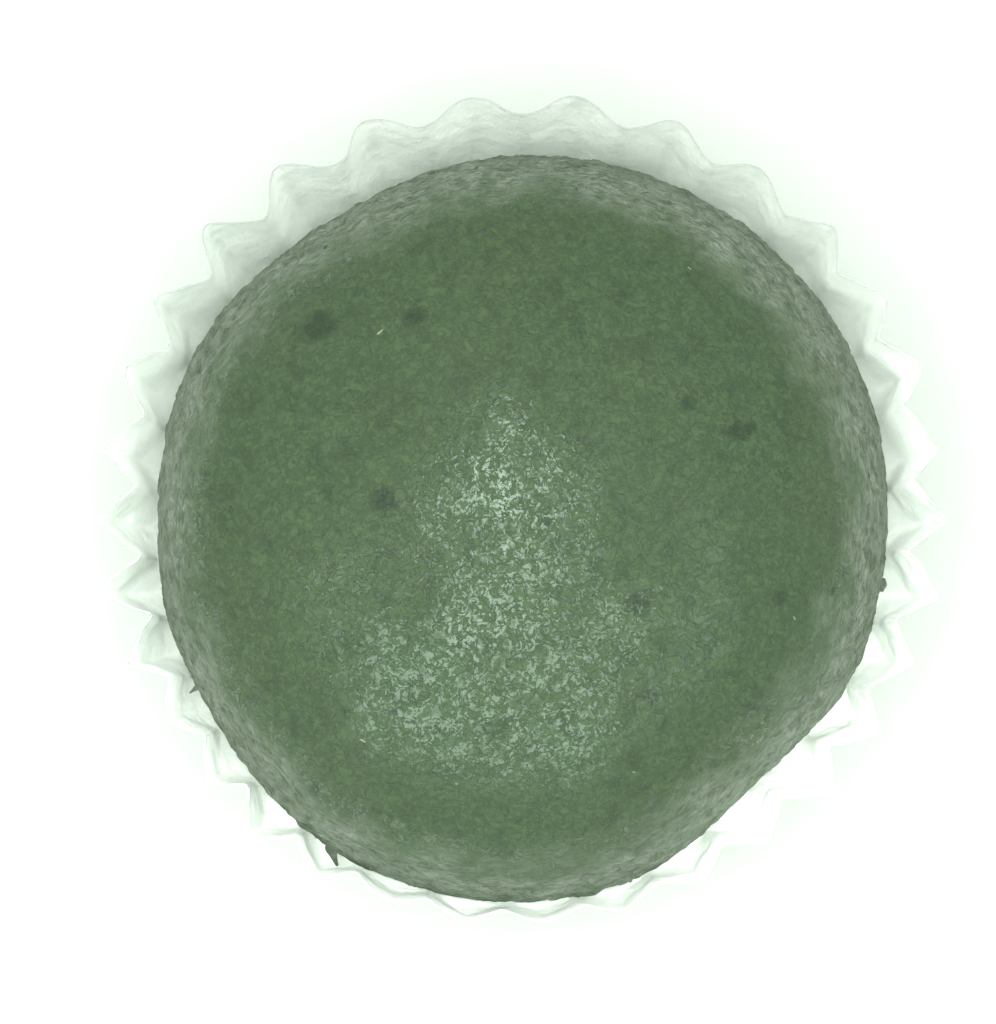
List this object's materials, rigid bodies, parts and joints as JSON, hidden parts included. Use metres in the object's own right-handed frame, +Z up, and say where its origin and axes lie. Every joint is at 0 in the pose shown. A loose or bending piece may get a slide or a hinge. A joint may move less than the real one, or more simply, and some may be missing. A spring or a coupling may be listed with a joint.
{
  "type": "mochi rice cake",
  "caption": "Round uncut green rice cake of soft dough with a dusted, finely wrinkled edge, sitting in a flared white paper case folded into pleats.",
  "frame": {"origin": "middle of the paper case's flat underside", "axes": "+Z up through the dome; -Y is the side of the case that the dough sits nearest to"},
  "size_m": [0.0575, 0.057, 0.0292],
  "materials": {
    "rice_dough": "satin",
    "case_paper": "matte"
  },
  "bodies": {
    "root": {"mochi": "rice_dough", "paper_case": "case_paper"}
  },
  "joints": []
}
